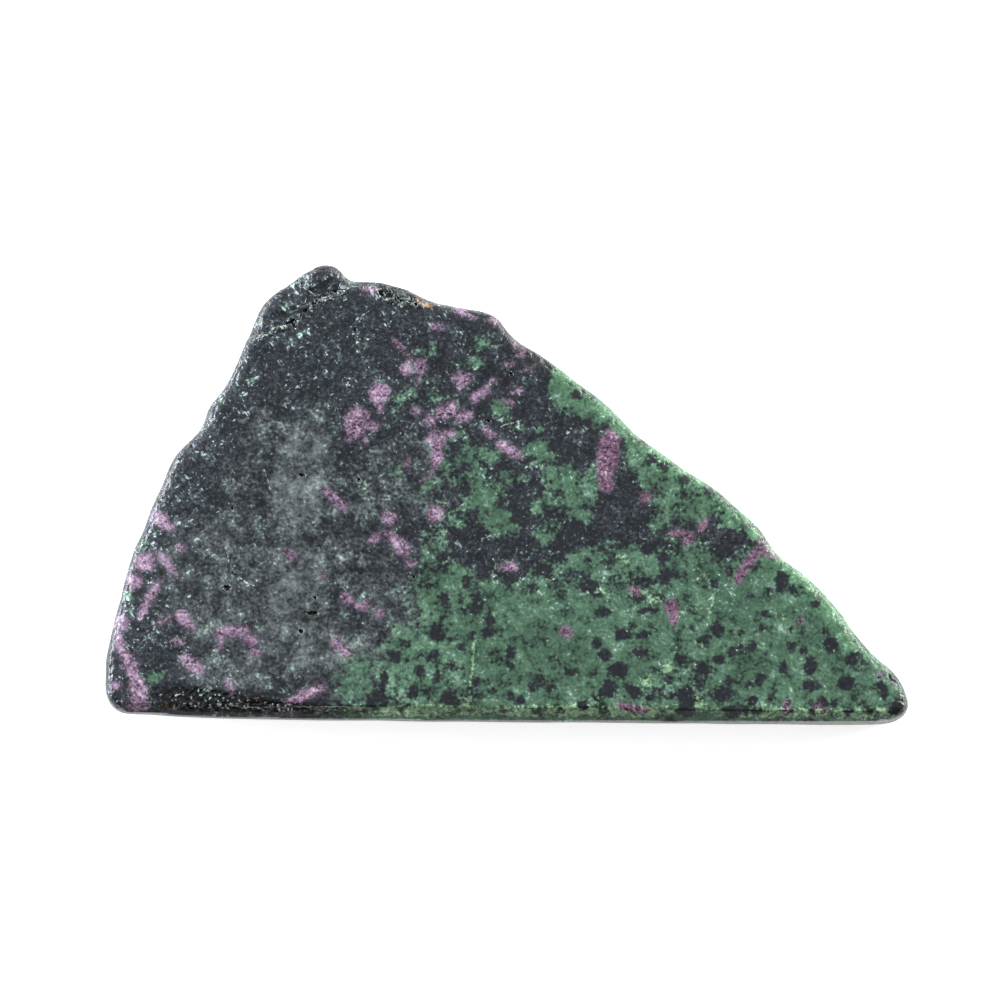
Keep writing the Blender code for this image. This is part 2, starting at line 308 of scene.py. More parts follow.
# Zones of colour: middle across and down, length and width in pixels, turn in degrees,
# and strength.
GREEN_ZONES = (
    (560, 640, 290, 140, 0, 1.0), (420, 665, 90, 90, 0, 0.8), (362, 676, 60, 50, 0, 0.75),
    (760, 640, 250, 150, -38, 1.0), (850, 690, 120, 50, -10, 1.0), (445, 590, 70, 70, 0, 0.8),
    (490, 498, 46, 36, 0, 0.9), (500, 522, 30, 44, 60, 0.9), (562, 478, 40, 34, 0, 0.9),
    (552, 500, 60, 20, 30, 0.7), (545, 535, 50, 20, 40, 0.8), (600, 560, 60, 40, 0, 0.9),
    (575, 560, 30, 20, 0, 0.9), (572, 392, 56, 40, -30, 1.1), (596, 408, 70, 34, -42, 1.2),
    (634, 432, 70, 30, -42, 1.2), (662, 470, 74, 50, -35, 1.0), (690, 500, 60, 50, -40, 0.8),
    (735, 520, 34, 22, 0, 1.1), (662, 505, 30, 40, 0, 0.7), (655, 520, 24, 24, 0, 0.8),
    (700, 565, 70, 44, 0, 0.9), (780, 570, 60, 30, -40, 1.0), (835, 620, 90, 40, -45, 1.1),
    (885, 670, 60, 36, -50, 1.1), (140, 545, 14, 14, 0, 0.55), (122, 594, 12, 26, 80, 0.55),
    (152, 676, 24, 20, 0, 0.6), (502, 408, 26, 16, 0, 0.8), (458, 432, 26, 22, 0, 0.5),
    (428, 350, 22, 18, 0, 0.5), (466, 365, 24, 14, 0, 0.5), (480, 362, 18, 12, 0, 0.5),
    (476, 344, 24, 18, 0, 0.5), (395, 470, 30, 20, 0, 0.4), (430, 490, 40, 26, 0, 0.45),
    (440, 450, 30, 30, 0, 0.5), (450, 465, 30, 30, 0, 0.55), (480, 455, 60, 30, 0, 0.6),
    (470, 480, 40, 20, 0, 0.65), (525, 425, 50, 18, -10, 0.55), (545, 450, 46, 26, 0, 0.8),
    (580, 500, 60, 50, 0, 0.85), (640, 712, 600, 34, 0, 1.0), (400, 714, 140, 22, 0, 0.8),
    (600, 470, 30, 30, 0, 0.5), (640, 560, 90, 40, 0, 0.85), (460, 520, 30, 24, 0, 0.6),
    (440, 545, 40, 40, 0, 0.6), (415, 400, 60, 30, 20, 0.4), (510, 480, 40, 30, 0, 0.7),
    (715, 505, 40, 24, -40, 0.7), (660, 545, 40, 24, 0, 0.5), (610, 398, 130, 26, -36, 1.2),
    (690, 460, 110, 26, -42, 1.1), (745, 518, 80, 20, -50, 0.8), (800, 570, 110, 26, -45, 1.1),
    (857, 625, 110, 28, -50, 1.2), (893, 682, 60, 44, -60, 1.2),
)
DARK_ZONES = (
    (613, 515, 54, 42, -50, 0.8), (518, 495, 26, 22, 0, 0.8), (570, 444, 46, 26, 0, 0.35),
    (468, 545, 34, 56, 90, 0.6), (520, 545, 36, 36, 0, 0.6), (722, 543, 40, 46, 60, 0.6),
    (650, 545, 30, 24, 0, 0.4), (560, 520, 36, 24, 0, 0.25), (640, 520, 34, 30, 0, 0.45),
    (585, 452, 14, 40, 90, 0.6), (515, 575, 26, 30, 0, 0.6), (528, 402, 36, 50, 0, 0.8),
    (582, 545, 40, 24, -20, 0.4), (735, 575, 20, 30, 60, 0.4),
)
GREY_AND_REFLECTION_ZONES = (
    # The first seven rows lay a grey band down the left middle of the face: a painted reflection
    # of a grey streak in the sheen. The rest are grey ground.
    (300, 478, 130, 60, 80, 1.0), (296, 600, 130, 70, 85, 1.0), (310, 645, 100, 60, 0, 0.75),
    (330, 560, 60, 60, 0, 0.5), (262, 430, 50, 40, 60, 0.5), (300, 560, 60, 50, 0, 0.8),
    (300, 620, 50, 40, 0, 1.1),
    (240, 490, 70, 100, 0, 0.35), (232, 672, 110, 34, 0, 0.75), (392, 600, 80, 100, 0, 0.55),
    (405, 480, 100, 90, 0, 0.42), (215, 580, 140, 120, 70, 0.62), (360, 570, 70, 110, 0, 0.35),
    (350, 665, 90, 70, 0, 0.75), (330, 500, 40, 110, 80, 0.5), (430, 560, 60, 60, 0, 0.3),
)
PALE_AND_LIT_BEVEL_ZONES = (
    (472, 668, 60, 3, 88, 1.0), (469, 700, 14, 5, 60, 1.0), (466, 708, 18, 8, 0, 1.0),
    (667, 669, 14, 10, 60, 0.9), (702, 709, 24, 8, 0, 0.7), (668, 708, 24, 8, 0, 0.6),
    (645, 682, 18, 14, 0, 0.6), (712, 604, 44, 4, 78, 0.75), (690, 610, 20, 8, 20, 0.5),
    (702, 575, 26, 6, -30, 0.5), (494, 572, 18, 5, 80, 0.75), (505, 560, 24, 5, -20, 0.5),
    (600, 590, 40, 8, -30, 0.5), (545, 595, 30, 6, -40, 0.5), (445, 560, 14, 6, 45, 0.5),
    (655, 600, 20, 10, 0, 0.5), (625, 560, 30, 8, -20, 0.5), (425, 708, 18, 8, 0, 0.6),
    (595, 700, 20, 14, 60, 0.45), (700, 645, 24, 6, -30, 0.5), (780, 615, 20, 8, -30, 0.45),
    # These long rows along the bevel are painted light: they lighten the bevel, which faces away
    # from the lamps.
    (430, 712, 140, 14, 0, 0.82), (560, 712, 170, 15, 0, 0.82), (640, 713, 80, 14, 0, 0.90),
    (697, 702, 14, 16, 0, 0.8), (780, 713, 130, 14, 0, 0.78), (866, 713, 70, 14, 0, 0.78),
)
# Where the face has the most painted glints: its crystals are painted brighter and its bright
# specks crowd.
SPARKLE_ZONES = (
    (290, 320, 110, 60, 60, 1.0), (205, 440, 270, 80, 62, 1.0), (150, 580, 200, 110, 75, 1.0),
    (180, 680, 160, 60, 0, 0.8), (340, 300, 160, 50, -15, 0.9), (420, 320, 200, 60, -25, 0.5),
    (330, 370, 160, 100, 0, 0.7), (500, 440, 260, 120, -20, 0.5), (560, 585, 200, 50, -10, 0.6),
    (690, 590, 120, 60, 0, 0.6), (230, 560, 90, 140, 0, 0.5),
)
STAINS = (
    (428, 305.5, 24, 7, -30, 0.75), (240, 707, 14, 6, 0, 0.85), (205, 703, 60, 8, -8, 0.72),
    (275, 708, 40, 6, 0, 0.72), (318, 709, 30, 6, 0, 0.70), (170, 706, 30, 10, 0, 0.70),
    (250, 700, 60, 8, 0, 0.61), (345, 710, 40, 6, 0, 0.70),
)

# Broken places in the surface at the near edge: middle across and down, length and width
# in pixels, turn in degrees, and strength. Each is this deep, with relief of this height,
# in mm. It is cut where its strength is over the least, and the net is finer over the other.
GROUND_PLACES = (
    (200, 699, 100, 22, -5, 1.2), (262, 706, 110, 13, -3, 1.1), (150, 700, 30, 26, 0, 0.5),
    (330, 710, 60, 8, 0, 0.6),
)
GROUND_DEPTH = 0.18
GROUND_RELIEF = 0.16
GROUND_LEAST = 0.02
GROUND_FINE = 0.3

# What break_edges() stores: painted shade, by how deep in a hollow each corner is, and
# painted highlights on chipped edges, scratches, pit rims and the broken band's high grains.
SHADE_AND_GLINT_LAYERS = ("hollow", "glint")

# Dents that tumbling left in the rounded edges: how deep and how wide, in mm, and how far
# their noise lies from the others'.
DENT_DEPTH = 0.16
DENT_GRAIN = 0.80
DENT_SHIFT = 60

# How the zones lean as they go down through the slab, in mm across for each mm down, where
# a zone ends and over how much it fades, as shares of its half width, and how much a dark
# zone takes from a green one.
ZONE_LEAN = (0.5, -0.35)
ZONE_END = 1.45
ZONE_FADE = 0.9
DARK_WEIGHT = 0.75

# How deep the grains on the face go for their width, and at least, in mm.
RUBY_DEPTH = 1.8
SPOT_DEPTH = 1.6
LEAST_DEPTH = 0.8

# Grains inside the stone, which show on its walls and underside. Each row is how many, their
# least and most half length in mm, their least width for it, and from and to which height.
# They lie within these half sides of the slab, and this is their height for their length.
HIDDEN_SEED = 11
HIDDEN_RUBIES = (90, 1.2, 4.5, 0.35, -1.0, 9.0)
HIDDEN_SPOTS = (900, 0.5, 1.6, 0.6, -0.5, 12.5)
HIDDEN_SIDES = (65, 38)
HIDDEN_HEIGHT = 0.8

# The farthest distance from a grain that is stored, in mm.
FAR = 4.0


def linear(text):
    """Turns an sRGB hex colour into Blender's linear one."""
    parts = []
    for start in (1, 3, 5):
        part = int(text[start:start + 2], 16) / 255
        parts.append(part / 12.92 if part <= 0.04045 else ((part + 0.055) / 1.055) ** 2.4)
    return (*parts, 1.0)


def on_face(across, down):
    """The place on the polished face, in mm, that a pixel of the photograph shows."""
    right = (across - PICTURE_SIDE / 2) * MM_PER_PIXEL
    up = (PICTURE_SIDE / 2 - down) * MM_PER_PIXEL
    spread = 1 / (1 - up / (CAMERA_DISTANCE * math.tan(CAMERA_TILT)))
    return CAMERA_AIM[0] + right * spread, CAMERA_AIM[1] + up * spread / math.sin(CAMERA_TILT)


def add_node(tree, kind, inputs=None, **settings):
    """Adds a node. An input is a value, or the socket that feeds it."""
    made = tree.nodes.new(kind)
    for name, value in settings.items():
        setattr(made, name, value)
    for name, value in (inputs or {}).items():
        if isinstance(value, bpy.types.NodeSocket):
            tree.links.new(value, made.inputs[name])
        else:
            made.inputs[name].default_value = value
    return made


# Tones of each mineral, from its darkest crystals to its brightest: how light each is
# beside the mineral's own colour, and how far it is paled.
TONE_PLACES = (0.12, 0.35, 0.50, 0.65, 0.78, 0.92)
TONES = {
    "matrix": ((0.08, 0.45, 0.90, 1.8, 2.7, 4.2), (0.0, 0.0, 0.0, 0.0, 0.0, 0.05)),
    "grey": ((0.15, 0.60, 1.0, 1.45, 2.0, 2.8), (0.0, 0.0, 0.0, 0.0, 0.01, 0.05)),
    "zoisite": ((0.30, 0.76, 1.0, 1.25, 1.65, 2.2), (0.0, 0.0, 0.0, 0.01, 0.03, 0.12)),
    "pale": ((0.25, 0.60, 0.9, 1.15, 1.5, 1.9), (0.0, 0.0, 0.0, 0.0, 0.1, 0.3)),
    "hornblende": ((0.3, 0.75, 1.0, 1.6, 2.6, 4.6), (0.0, 0.0, 0.0, 0.0, 0.0, 0.0)),
    "ruby": ((0.04, 0.48, 1.0, 1.55, 2.1, 2.6), (0.0, 0.0, 0.02, 0.06, 0.22, 0.55)),
    "red_ruby": ((0.06, 0.52, 1.0, 1.45, 1.9, 2.4), (0.0, 0.0, 0.01, 0.04, 0.18, 0.50)),
    "stain": ((0.10, 0.35, 0.70, 1.0, 1.4, 1.8), (0.0, 0.0, 0.0, 0.0, 0.05, 0.2)),
    "hollow": ((0.3, 0.8, 1.0, 2.0, 5.0, 16.0), (0.0, 0.0, 0.0, 0.0, 0.0, 0.08)),
    "glint": ((0.20, 0.50, 0.8, 1.2, 1.6, 2.0), (0.0, 0.0, 0.0, 0.0, 0.1, 0.4)),
    "dust": ((0.5, 0.8, 1.0, 1.2, 1.5, 1.9), (0.0, 0.0, 0.0, 0.0, 0.0, 0.05)),
    "glint_specks": ((0.5, 0.75, 1.0, 1.2, 1.5, 1.8), (0.0, 0.0, 0.0, 0.0, 0.1, 0.3)),
}
CRYSTAL = 0.40

# The bright specks, in mm across: round ones, and needles drawn out along two ways, each
# by its turn and how long it is for its width.
SPECK = 0.42
SPECK_SHAPES = ((0.0, 1.0), (0.6, 2.8), (2.2, 3.2))

# Where each mineral starts and is full, in mm from its grains' surface or in zone strength,
# the weight of that level, and the noise that makes its border ragged.
BORDERS = {
    "ruby": (0.14, -0.42, 1.0, (("edge", 1.4), ("crumb", 2.4), ("fine", 1.8))),
    "hornblende": (0.50, -0.30, 1.0, (("lobe", 0.6), ("edge", 1.2), ("crumb", 0.8))),
    "zoisite": (0.22, 0.90, 1.0, (("lobe", 2.0), ("edge", 1.4), ("crumb", 0.7))),
    "grey": (0.0, 1.15, 1.0, (("lobe", 1.0), ("edge", 0.8), ("crumb", 0.8))),
    "pale": (0.40, 0.85, 1.0, (("edge", 1.0), ("crumb", 1.0), ("fine", 1.4))),
    "stain": (2.0, 2.5, 3.0, (("edge", 1.2), ("crumb", 2.2), ("fine", 2.4))),
    "hollow": (0.25, 0.65, 1.0, (("crumb", 0.9), ("fine", 0.6))),
    "glint": (0.40, 0.85, 1.0, (("crumb", 1.8), ("fine", 1.6))),
    "dust": (0.10, 0.60, 1.0, (("crumb", 0.5),)),
}

# The layers on the matrix from the ground up, each with the kind of tone it has. The specks
# are painted glints, the hollows painted shade and the glints painted highlights.
LAYERS = (
    ("grey", "soft"), ("zoisite", "soft"), ("pale", "soft"), ("glint_specks", "sharp"),
    ("hornblende", "sharp"), ("ruby", "sharp"), ("red_ruby", "sharp"), ("stain", "sharp"),
    ("hollow", "sharp"), ("glint", "sharp"), ("dust", "sharp"),
)

# Where the rubies turn redder, in mm across, and how much brighter the painted glow makes
# the red, green and blue of zoisite at a thin edge.
RED_FROM = 4.0
RED_TO = 16.0
THIN_GLOW_LIFT = (0.42, 0.70, 0.38)


def colour_setting(name, description, text):
    """A colour that a user can change."""
    return bpy.props.FloatVectorProperty(
        name=name, description=description,
        subtype="COLOR", size=4, min=0, max=1, default=linear(text))


class StoneSettings(bpy.types.PropertyGroup):
    """Colours and finish of the stone."""

    matrix: colour_setting("Matrix", "Fine dark ground between the grains", "#2a2d31")
    # Grey ground, and the grey band of painted reflection down the face's left middle.
    grey: colour_setting("Grey matrix", "Lighter ground with feldspar in it", "#5b605f")
    zoisite: colour_setting("Zoisite", "Green grains", "#4a6951")
    # Pale veins, and painted light that lightens the bevel.
    pale: colour_setting("Pale veins", "Pale green veins and nests", "#86a67c")
    hornblende: colour_setting("Hornblende", "Black spots", "#212326")
    ruby: colour_setting("Ruby", "Pink patches", "#8d6f86")
    red_ruby: colour_setting("Red ruby", "Pink patches in the green half", "#765469")
    stain: colour_setting("Iron stain", "Orange stains in cracks", "#c08a38")
    # Painted shade in the pits, the chipped steps and the broken band.
    hollow: colour_setting("Hollows", "Shaded pits and broken places", "#070708")
    # Painted highlights on chipped edges, pit rims, scratches and the broken band's high grains.
    glint: colour_setting("Broken edges", "Fresh pale edges of chips", "#a3ae9f")
    dust: colour_setting("Sawn wall", "Dull near wall under the bevel", "#8b867e")
    # Painted glints on tiny pale grains.
    glint_specks: colour_setting("Specks", "Tiny bright grains", "#a9bcbc")
    gloss: bpy.props.FloatProperty(
        name="Roughness", description="Roughness of the polished face",
        subtype="FACTOR", min=0, max=1, default=0.30)


class StageSettings(bpy.types.PropertyGroup):
    """Floor and lights."""

    floor: colour_setting("Floor", "Colour of the floor", "#f7f7f7")
    floor_side: bpy.props.FloatProperty(
        name="Floor side", description="Side of the square floor",
        unit="LENGTH", min=0.5, max=20, default=5.0)
    table_glow: bpy.props.FloatProperty(
        name="Table glow", description="How strongly the opal floor is lit from below",
        min=0, max=5, default=0.85)


def clamp(value):
    """The value, kept between 0 and 1."""
    return min(1, max(0, value))


def grain_distance(points, centre, half, turn):
    """About how far each point is from an egg-shaped grain, in mm, less than 0 inside."""
    away = points - centre
    cos, sin = math.cos(turn), math.sin(turn)
    along = away[:, 0] * cos + away[:, 1] * sin
    over = away[:, 1] * cos - away[:, 0] * sin
    local = np.column_stack([along, over, away[:, 2]])
    share = np.linalg.norm(local / half, axis=1)
    slope = np.linalg.norm(local / half ** 2, axis=1)
    return np.where(share < 0.05, -half.min(), share * (share - 1) / np.maximum(slope, 1e-6))


def nearest_grain(points, grains):
    """The distance from each point to the nearest grain, in mm."""
    field = np.full(len(points), FAR)
    for centre, half, turn in grains:
        reach = half.max() + FAR
        near = np.flatnonzero(np.abs(points - centre).max(axis=1) < reach)
        found = grain_distance(points[near], centre, half, turn)
        field[near] = np.minimum(field[near], found)
    return field


def zone_level(points, zones):
    """How strongly each point is in the zones, from 0 outside to the zone's strength."""
    level = np.zeros(len(points))
    down = FACE - points[:, 2]
    x = points[:, 0] + ZONE_LEAN[0] * down
    y = points[:, 1] + ZONE_LEAN[1] * down
    for across, below, long, wide, turn, strength in zones:
        place = on_face(across, below)
        angle = math.radians(turn)
        along = (x - place[0]) * math.cos(angle) + (y - place[1]) * math.sin(angle)
        over = (y - place[1]) * math.cos(angle) - (x - place[0]) * math.sin(angle)
        share = np.hypot(along / (long * MM_PER_PIXEL / 2), over / (wide * MM_PER_PIXEL / 2))
        fade = np.clip((ZONE_END - share) / ZONE_FADE, 0, 1)
        level = np.maximum(level, strength * fade * fade * (3 - 2 * fade))
    return level


def face_grains(rows, depth):
    """Grains from rows of pixels, with how deep they go for their width."""
    grains = []
    for row in rows:
        x, y = on_face(row[0], row[1])
        half = np.array(row[2:4]) * MM_PER_PIXEL / 2
        turn = math.radians(row[4]) if len(row) > 4 else 0.0
        deep = max(half.min() * depth, LEAST_DEPTH)
        grains.append((np.array([x, y, FACE]), np.append(half, deep), turn))
    return grains


def hidden_grains(count, small, large, flat, low, high, dice):
    """Grains in the lower part of the stone, placed by chance."""
    grains = []
    for _ in range(count):
        size = small + (large - small) * dice.random() ** 2
        half = np.array([size, size * (flat + (1 - flat) * dice.random()), size * HIDDEN_HEIGHT])
        x = dice.uniform(-HIDDEN_SIDES[0], HIDDEN_SIDES[0])
        y = dice.uniform(-HIDDEN_SIDES[1], HIDDEN_SIDES[1])
        z = dice.uniform(low, high)
        grains.append((np.array([x, y, z]), half, dice.uniform(0, math.pi)))
    return grains


def beside_line(points, line):
    """How far each point is from a line on the face, in mm: more than 0 above it, less below."""
    corners = [on_face(*corner) for corner in line]
    nearest = np.full(len(points), np.inf)
    side = np.zeros(len(points))
    for (x0, y0), (x1, y1) in zip(corners, corners[1:]):
        long = math.hypot(x1 - x0, y1 - y0)
        along = ((points[:, 0] - x0) * (x1 - x0) + (points[:, 1] - y0) * (y1 - y0)) / long ** 2
        along = np.clip(along, 0, 1)
        across = points[:, 0] - x0 - along * (x1 - x0)
        up = points[:, 1] - y0 - along * (y1 - y0)
        away = np.hypot(across, up)
        turn = (x1 - x0) * up - (y1 - y0) * across
        side = np.where(away < nearest, np.sign(turn), side)
        nearest = np.minimum(nearest, away)
    return nearest * side


def even_net(source):
    """A copy of the CAD slab as an even net of small faces, laid back on the solid."""
    mesh = source.data.copy()
    body = bmesh.new()
    body.from_mesh(mesh)
    bmesh.ops.remove_doubles(body, verts=body.verts, dist=WELD)
    body.to_mesh(mesh)
    body.free()
    stone = bpy.data.objects.new("polished_slab", mesh)
    bpy.context.scene.collection.objects.link(stone)
    net = stone.modifiers.new("Net", "REMESH")
    net.mode = "VOXEL"
    net.voxel_size = CELL * MM
    lay = stone.modifiers.new("Lay", "SHRINKWRAP")
    lay.target = source
    lay.wrap_method = "NEAREST_SURFACEPOINT"
    bpy.context.view_layer.update()
    finished = stone.evaluated_get(bpy.context.evaluated_depsgraph_get())
    stone.data = bpy.data.meshes.new_from_object(finished)
    stone.modifiers.clear()
    return stone


def halve(body, wanted):
    """Splits the edges of the faces that are wanted and not small yet."""
    places = np.array([face.calc_center_median() for face in body.faces]) / MM
    slopes = np.array([face.normal.z for face in body.faces])
    areas = np.array([face.calc_area() for face in body.faces]) / MM ** 2
    chosen = np.flatnonzero(wanted(places, slopes) & (areas > SMALL_FACE))
    body.faces.ensure_lookup_table()
    edges = {edge for index in chosen for edge in body.faces[index].edges}
    bmesh.ops.subdivide_edges(body, edges=list(edges), cuts=1, use_grid_fill=True)
    body.normal_update()


def relax(body, passes, lowest, flattest):
    """Smooths the corners above a height whose normals lean from upright, but not the bevel."""
    for _ in range(passes):
        leaning = [
            v for v in body.verts
            if v.co.z > lowest * MM and abs(v.normal.z) < flattest and not by_bevel(v.co / MM)]
        bmesh.ops.smooth_vert(
            body, verts=leaning, factor=0.5, use_axis_x=True, use_axis_y=True, use_axis_z=True)
        body.normal_update()


def by_bevel(place):
    """Whether a place, in mm, is on the bevel or just beside it."""
    return place[2] > BEVEL_FOOT and place[1] < BEVEL_BACK and abs(place[0]) < BEVEL_END


def flatten_bevel(body, source):
    """Puts the corners on the bevel back on the flat that the solid has there."""
    low, high = BEVEL_SLOPES
    leaning = [
        face for face in source.data.polygons
        if low < face.normal.z < high and face.normal.y < BEVEL_FORWARD]
    flat = max(leaning, key=lambda face: face.area)
    on_flat = flat.center / MM
    for corner in body.verts:
        place = corner.co / MM
        if by_bevel(place) and corner.normal.z > WALL_SLOPE:
            away = place - on_flat
            fall = (away.x * flat.normal.x + away.y * flat.normal.y) / flat.normal.z
            level = min(FACE, on_flat.z - fall)
            if abs(level - place.z) < BEVEL_NEAR:
                corner.co.z = level * MM
    body.normal_update()


def roughness(point, size):
    """Noise from about -1 to 1 with lumps of that size in mm."""
    return noise.fractal(Vector(point) / size, *NOISE)


def lumps(x, y, kind):
    """One kind of noise in the broken places, at a place on the face."""
    height, size = LUMPS[kind]
    return roughness((x, y, height), size)


def wall_tree(points, upright):
    """A search tree of the places, seen from above, where the walls are."""
    walls = points[(np.abs(upright) < WALL_SLOPE) & (points[:, 2] > WALL_FOOT)]
    tree = KDTree(len(walls))
    for index, wall in enumerate(walls):
        tree.insert((wall[0], wall[1], 0), index)
    tree.balance()
    return tree


def near_chips(places, slopes):
    """Which faces lie near the broken lines, a scratch or a pit."""
    near = np.abs(beside_line(places, LEDGE_LINE)) < CHIPPED_REACH
    ragged = beside_line(places, RAGGED_LINE)
    near |= (ragged > RAGGED_REACH[0]) & (ragged < RAGGED_REACH[1])
    for scratch in SCRATCHES:
        near |= np.abs(beside_line(places, scratch)) < 2 * SCRATCH_WIDTH
    for across, down, wide, high, _ in PITS:
        x, y = on_face(across, down)
        near |= np.hypot(places[:, 0] - x, places[:, 1] - y) < wide * MM_PER_PIXEL
    return near & (places[:, 2] > UPPER_PART) & (slopes > CHIPPED_SLOPE)


def broken_ground(places):
    """Which places are in the broken band at the near edge."""
    return (zone_level(places, GROUND_PLACES) > GROUND_FINE) & (places[:, 2] > BEVEL_FOOT)


def follow(noise_here, level, change):
    """A share between 0 and 1 that follows the noise."""
    return clamp(level + change * noise_here)


def step_at(x, y, away, inward, floor, grit_height):
    """The step beside a broken line: its level, how far it holds, its painted shade and its
    painted highlight.
    """
    hold = clamp((inward - HOLD_FROM) / HOLD_FADE)
    jag = away + JAG * lumps(x, y, "jag") + SMALL_JAG * lumps(x, y, "small_jag")
    hollow = 0.0
    glint = 0.0
    if jag < 0:
        chip = max(0, lumps(x, y, "chip") - CHIP_FROM) * max(0, 1 + jag / CHIP_REACH)
        level = FACE - CHIP_DEPTH * chip
        # A painted highlight along the broken edge.
        broken = follow(lumps(x, y, "broken"), *EDGE_GLINT)
        glint = max(0, GLINT_PEAK + jag / GLINT_REACH) * hold * broken
    else:
        pit = max(0, lumps(x, y, "floor_pit") - FLOOR_PIT_FROM)
        pit *= max(0, 1 - jag / FLOOR_PIT_REACH)
        grit = grit_height * lumps(x, y, "grit")
        level = FACE - floor - FLOOR_PIT_DEPTH * pit + grit
        # Painted shade in the pits and under the grit.
        hollow = min(1, FLOOR_PIT_SHADE * pit + max(0, -grit))
    reach = hold * min(clamp((STEP_ABOVE - away) / FADE_ABOVE), (away + STEP_BELOW) / FADE_BELOW)
    return level, reach, hollow, glint


def break_edges(body):
    """Cuts the broken lines crisp, roughens the ragged ledge, sinks the pits, dents the rims, and
    stores painted shade and painted highlights.
    """
    points = np.array([v.co for v in body.verts]) / MM
    steps = (
        (beside_line(points, LEDGE_LINE), LEDGE_FLOOR, LEDGE_GRIT),
        (beside_line(points, RAGGED_LINE), RAGGED_FLOOR, RAGGED_GRIT),
    )
    upright = np.array([v.normal.z for v in body.verts])
    tree = wall_tree(points, upright)
    ground = zone_level(points, GROUND_PLACES)
    pits = []
    for across, down, wide, high, deep in PITS:
        pits.append((*on_face(across, down), wide * MM_PER_PIXEL, high * MM_PER_PIXEL, deep))
    hollow_shades = np.zeros(len(points))
    glints = np.zeros(len(points))
    for name in SHADE_AND_GLINT_LAYERS:
        body.verts.layers.float.new(name)
    # A painted highlight along each scratch.
    for scratch in SCRATCHES:
        depth = 1 - np.abs(beside_line(points, scratch)) / SCRATCH_WIDTH
        glints = np.maximum(glints, np.clip(depth, 0, 1) * (points[:, 2] > UPPER_PART))
    corners = list(body.verts)
    for index in np.flatnonzero((points[:, 2] > UPPER_PART) & (upright > UPPER_SLOPE)):
        x, y, z = points[index]
        if ground[index] > GROUND_LEAST:
            relief = lumps(x, y, "ground")
            z -= ground[index] * (GROUND_DEPTH + GROUND_RELIEF * relief)
            # Painted shade in the band's dips, and painted highlights on its high grains.
            hollow_shades[index] = ground[index] * follow(relief, *GROUND_HOLLOW)
            glints[index] = ground[index] * follow(relief, *GROUND_GLINT)
        for distances, floor, grit in steps:
            away = distances[index]
            if -STEP_BELOW < away < STEP_ABOVE:
                inward = tree.find((x, y, 0))[2]
                level, reach, hollow, glint = step_at(x, y, away, inward, floor, grit)
                hollow_shades[index] = max(hollow_shades[index], hollow)
                glints[index] = max(glints[index], glint)
                z += (level - z) * reach
        for left, low, wide, high, deep in pits:
            share = math.hypot((x - left) / (wide / 2), (y - low) / (high / 2))
            share += PIT_JAG * lumps(x, y, "pit_edge")
            if share < PIT_EDGE:
                sink = clamp((PIT_EDGE - share) / PIT_FADE)
                z -= deep * sink
                # Painted shade in the pit, and a painted highlight on its right-hand rim.
                hollow_shades[index] = max(hollow_shades[index], sink)
            elif share < PIT_RIM and x > left:
                glints[index] = max(glints[index], PIT_RIM - share)
        corners[index].co.z = z * MM
        if upright[index] < DENTED_SLOPE and not by_bevel(points[index]):
            dent = max(0, roughness(points[index] + DENT_SHIFT, DENT_GRAIN))
            corners[index].co -= corners[index].normal * (dent * DENT_DEPTH * MM)
    for name, values in zip(SHADE_AND_GLINT_LAYERS, (hollow_shades, glints)):
        layer = body.verts.layers.float[name]
        for corner, value in zip(corners, values):
            corner[layer] = value


def upper_part(places, slopes):
    """Which faces lie in the upper part of the stone."""
    return places[:, 2] > UPPER_PART


def rims(places, slopes):
    """Which faces lie on the rounded edges of the upper part."""
    return (places[:, 2] > UPPER_PART) & (slopes > RIM_SLOPES[0]) & (slopes < RIM_SLOPES[1])


def broken_places(places, slopes):
    """Which faces lie near the broken lines, a scratch or a pit, or in the broken band."""
    return near_chips(places, slopes) | broken_ground(places)


def refine(stone, source):
    """Smooths the net, makes it finer where the stone has small forms, and breaks its edges."""
    body = bmesh.new()
    body.from_mesh(stone.data)
    relax(body, *SMOOTHED_ALL)
    halve(body, upper_part)
    halve(body, rims)
    relax(body, *SMOOTHED_RIMS)
    flatten_bevel(body, source)
    halve(body, broken_places)
    halve(body, near_chips)
    break_edges(body)
    bmesh.ops.recalc_face_normals(body, faces=body.faces)
    for face in body.faces:
        face.smooth = True
    body.to_mesh(stone.data)
    body.free()


